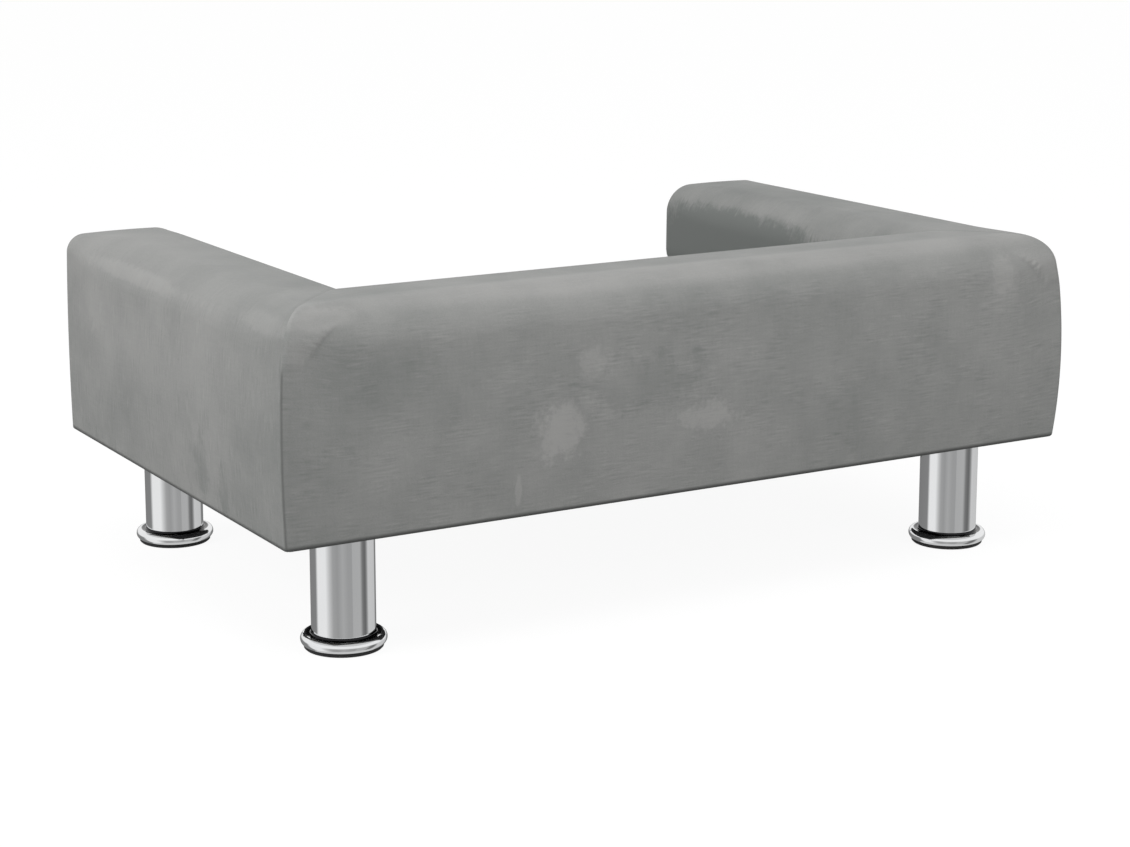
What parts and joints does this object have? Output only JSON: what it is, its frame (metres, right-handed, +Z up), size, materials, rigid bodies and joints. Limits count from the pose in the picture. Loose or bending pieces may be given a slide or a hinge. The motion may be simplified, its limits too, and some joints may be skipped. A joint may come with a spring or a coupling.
{
  "type": "dog sofa bed",
  "caption": "Low U-shaped padded dog sofa in grey velvet, with back and arms of one height, a loose seat cushion and chrome tube legs on flared feet.",
  "frame": {"origin": "on the floor, under the middle of the sofa's outline", "axes": "+Z up, the open front faces -Y and the back stands at +Y, +X is the left arm's side as for one who sits in it"},
  "size_m": [0.7, 0.45, 0.265],
  "materials": {
    "velvet": "matte",
    "foam": "matte",
    "plywood": "matte",
    "timber": "matte",
    "hardboard": "matte",
    "dust_cloth": "matte",
    "chrome": "polished",
    "foot_rubber": "matte",
    "zinc_steel": "satin",
    "zip_tape": "matte",
    "zip_coil": "satin",
    "zip_metal": "satin"
  },
  "bodies": {
    "sofa": {"arm_screws": "zinc_steel", "back_bottom_rail": "timber", "back_cover": "velvet", "back_foam": "foam", "back_inner_panel": "hardboard", "back_outer_panel": "hardboard", "back_posts": "timber", "back_top_rail": "timber", "base_board": "plywood", "base_screws": "zinc_steel", "dust_cover": "dust_cloth", "dust_cover_staples": "zinc_steel", "foot_flange_front_left": "chrome", "foot_flange_front_right": "chrome", "foot_flange_rear_left": "chrome", "foot_flange_rear_right": "chrome", "foot_pad_front_left": "foot_rubber", "foot_pad_front_right": "foot_rubber", "foot_pad_rear_left": "foot_rubber", "foot_pad_rear_right": "foot_rubber", "front_rail": "timber", "front_rail_foam": "foam", "hem_staples": "zinc_steel", "insert_nuts": "zinc_steel", "left_arm_bottom_rail": "timber", "left_arm_cover": "velvet", "left_arm_foam": "foam", "left_arm_inner_panel": "hardboard", "left_arm_outer_panel": "hardboard", "left_arm_posts": "timber", "left_arm_top_rail": "timber", "leg_bolts": "zinc_steel", "leg_end_plate_front_left": "zinc_steel", "leg_end_plate_front_right": "zinc_steel", "leg_end_plate_rear_left": "zinc_steel", "leg_end_plate_rear_right": "zinc_steel", "leg_tube_front_left": "chrome", "leg_tube_front_right": "chrome", "leg_tube_rear_left": "chrome", "leg_tube_rear_right": "chrome", "right_arm_bottom_rail": "timber", "right_arm_cover": "velvet", "right_arm_foam": "foam", "right_arm_inner_panel": "hardboard", "right_arm_outer_panel": "hardboard", "right_arm_posts": "timber", "right_arm_top_rail": "timber", "seat_cover": "velvet", "seat_foam": "foam"},
    "seat_cushion": {"cushion_band": "velvet", "cushion_bottom_panel": "velvet", "cushion_foam": "foam", "cushion_top_panel": "velvet", "zip_chains": "zip_coil", "zip_stops": "zip_coil", "zip_tapes": "zip_tape"},
    "zip_slider": {"zip_slider": "zip_metal", "zip_pull": "zip_metal"}
  },
  "joints": [
    {"name": "cushion_lift", "type": "slide", "parent": "sofa", "child": "seat_cushion", "axis": [0, 0, 1], "range_m": [0, 0.2]},
    {"name": "zip_slide", "type": "slide", "parent": "seat_cushion", "child": "zip_slider", "axis": [1, 0, 0], "range_m": [-0.362, 0]}
  ]
}
